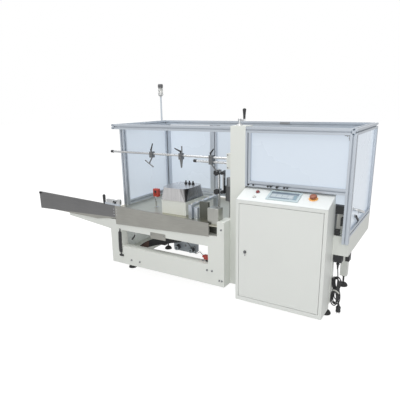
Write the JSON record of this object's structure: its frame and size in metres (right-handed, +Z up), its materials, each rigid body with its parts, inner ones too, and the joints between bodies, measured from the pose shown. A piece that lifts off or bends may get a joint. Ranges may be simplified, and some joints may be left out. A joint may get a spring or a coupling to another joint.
{
  "type": "case erector",
  "caption": "Packaging-line machine that opens flat cartons: welded base with side magazine, guarded forming bed, height column with crank, and control cabinet with sloped console.",
  "frame": {"origin": "on the floor under the middle of the machine's outline, without the mains lead", "axes": "+X along the front from the magazine to the outfeed end, +Y from the operator's side to the back, +Z up"},
  "size_m": [3.254, 1.05, 1.835],
  "materials": {
    "frame_paint": "satin",
    "cabinet_paint": "satin",
    "end_sheet": "satin",
    "stainless": "brushed",
    "dark_stainless": "brushed",
    "cast_grey": "cast",
    "belt_unit": "woven",
    "profile": "anodised",
    "guard_panel": "translucent",
    "bright_steel": "polished",
    "black_plastic": "moulded",
    "foot_rubber": "matte",
    "lamp_body": "clear",
    "red_plastic": "gloss",
    "screen": "gloss",
    "zinc_plate": "zinc",
    "lead_rubber": "matte"
  },
  "bodies": {
    "machine": {"base_posts": "frame_paint", "front_beams": "frame_paint", "back_beams": "frame_paint", "end_beams": "frame_paint", "bay_beams": "frame_paint", "partition": "frame_paint", "cantilever_arms": "frame_paint", "lift_column": "frame_paint", "hood_pedestal": "frame_paint", "cabinet_body": "cabinet_paint", "console_plate": "cabinet_paint", "left_end_panel": "end_sheet", "table_deck": "stainless", "magazine_wall": "stainless", "magazine_floor": "stainless", "forming_hood": "stainless", "flap_rail": "stainless", "side_guide": "stainless", "tape_head": "stainless", "magazine_clamp": "stainless", "outfeed_rollers": "stainless", "magazine_extension": "dark_stainless", "rail_bracket": "cast_grey", "side_belts": "belt_unit", "guard_posts": "profile", "guard_long_rails": "profile", "guard_side_rails": "profile", "rear_door_hinges": "profile", "lamp_pole": "profile", "guard_panels": "guard_panel", "adjust_knobs": "black_plastic", "suction_cups": "black_plastic", "belt_guard": "black_plastic", "connector_boxes": "black_plastic", "cord_gland": "black_plastic", "cord_plug": "black_plastic", "levelling_feet": "foot_rubber", "alarm_lamp": "lamp_body", "sensor_block": "red_plastic", "emergency_stop": "red_plastic", "console_buttons": "red_plastic", "touch_screen": "screen", "mounting_plate": "zinc_plate", "cord_drop": "lead_rubber", "cord_hank": "lead_rubber", "cord_tail": "lead_rubber"},
    "cabinet_door": {"cabinet_door": "cabinet_paint", "door_latch": "bright_steel"},
    "rear_door": {"rear_door_frame": "profile", "rear_door_panel": "guard_panel"},
    "height_crank": {"height_crank": "bright_steel", "crank_grip": "black_plastic"},
    "upper_guides": {"guide_carriage": "frame_paint", "guide_rods": "bright_steel", "rod_clamps": "bright_steel", "clamp_levers": "black_plastic"}
  },
  "joints": [
    {"name": "crank_turn", "type": "hinge", "parent": "machine", "child": "height_crank", "pos_m": [0.709, -0.2705, 1.455], "axis": [0, 0, 1], "range_deg": [-4321, 4321]},
    {"name": "guide_lift", "type": "slide", "parent": "machine", "child": "upper_guides", "axis": [0, 0, 1], "range_m": [-0.12, 0.12]},
    {"name": "cabinet_door", "type": "hinge", "parent": "machine", "child": "cabinet_door", "pos_m": [1.476, -0.5075, 0.48], "axis": [0, 0, 1], "range_deg": [0, 110]},
    {"name": "rear_door", "type": "hinge", "parent": "machine", "child": "rear_door", "pos_m": [-0.558, 0.5175, 1.05], "axis": [0, 0, 1], "range_deg": [0, 100]}
  ],
  "couplings": [
    {"joint": "crank_turn", "follows": "guide_lift", "rad_per_m": 628.32}
  ]
}
